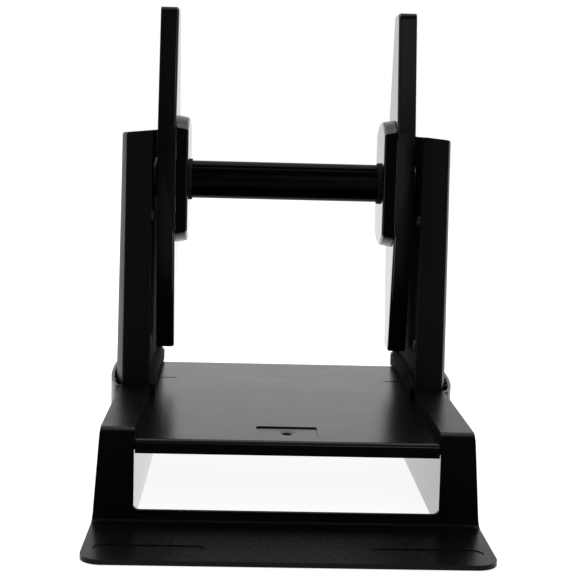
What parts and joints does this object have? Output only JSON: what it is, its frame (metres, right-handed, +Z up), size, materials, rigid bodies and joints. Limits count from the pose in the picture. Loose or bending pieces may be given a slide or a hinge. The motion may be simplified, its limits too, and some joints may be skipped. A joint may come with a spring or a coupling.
{
  "type": "label roll holder",
  "caption": "Black moulded stand for label rolls: lipped base with a low deck, slotted uprights, and a lift-out turning spindle carrying sliding blade guides with core hubs.",
  "frame": {"origin": "middle of the footprint, on the surface that the stand rests on", "axes": "+Z up; +Y from the front lip towards the back; +X to the right as seen from the front, along the spindle"},
  "size_m": [0.2086, 0.315, 0.2735],
  "materials": {
    "frame_plastic": "fine moulded texture, satin",
    "deck_plastic": "fine moulded texture, satin",
    "upright_plastic": "fine moulded texture, satin",
    "panel_plastic": "fine moulded texture, satin",
    "guide_plastic": "smooth moulded satin",
    "hub_plastic": "smooth moulded satin",
    "spindle_plastic": "smooth, slightly glossy",
    "bush_plastic": "plain bearing plastic",
    "foot_rubber": "matte rubber",
    "screw_steel": "plated, plain"
  },
  "bodies": {
    "stand": {"base_frame": "frame_plastic", "deck_plate": "deck_plastic", "deck_screw_left_front": "screw_steel", "rubber_foot_left_front": "foot_rubber", "left_foot_screw_front": "screw_steel", "deck_screw_left_rear": "screw_steel", "rubber_foot_left_rear": "foot_rubber", "left_foot_screw_rear": "screw_steel", "left_panel_screw_low_front": "screw_steel", "left_panel_screw_low_rear": "screw_steel", "left_panel_screw_high_front": "screw_steel", "left_upright_shell": "upright_plastic", "left_upright_panel": "panel_plastic", "deck_screw_right_front": "screw_steel", "rubber_foot_right_front": "foot_rubber", "right_foot_screw_front": "screw_steel", "deck_screw_right_rear": "screw_steel", "rubber_foot_right_rear": "foot_rubber", "right_foot_screw_rear": "screw_steel", "right_panel_screw_low_front": "screw_steel", "right_panel_screw_low_rear": "screw_steel", "right_panel_screw_high_front": "screw_steel", "right_upright_shell": "upright_plastic", "right_upright_panel": "panel_plastic"},
    "bushes": {"left_bush": "bush_plastic", "right_bush": "bush_plastic"},
    "spindle": {"spindle_tube": "spindle_plastic", "left_journal": "spindle_plastic", "left_end_screw": "screw_steel", "right_journal": "spindle_plastic", "right_end_screw": "screw_steel"},
    "left_guide": {"left_hub_screw_1": "screw_steel", "left_hub_screw_2": "screw_steel", "left_hub_screw_3": "screw_steel", "left_hub_screw_4": "screw_steel", "left_guide_blade": "guide_plastic", "left_core_hub": "hub_plastic", "left_grip_ring": "foot_rubber"},
    "right_guide": {"right_hub_screw_1": "screw_steel", "right_hub_screw_2": "screw_steel", "right_hub_screw_3": "screw_steel", "right_hub_screw_4": "screw_steel", "right_guide_blade": "guide_plastic", "right_core_hub": "hub_plastic", "right_grip_ring": "foot_rubber"}
  },
  "joints": [
    {"name": "spindle_lift", "type": "slide", "parent": "stand", "child": "bushes", "axis": [0, 0, 1], "range_m": [0, 0.05]},
    {"name": "spindle_turn", "type": "hinge", "parent": "bushes", "child": "spindle", "pos_m": [0, 0.0875, 0.169], "axis": [1, 0, 0], "continuous": true},
    {"name": "left_guide_slide", "type": "slide", "parent": "spindle", "child": "left_guide", "axis": [1, 0, 0], "range_m": [0, 0.055]},
    {"name": "right_guide_slide", "type": "slide", "parent": "spindle", "child": "right_guide", "axis": [-1, 0, 0], "range_m": [0, 0.055]}
  ]
}
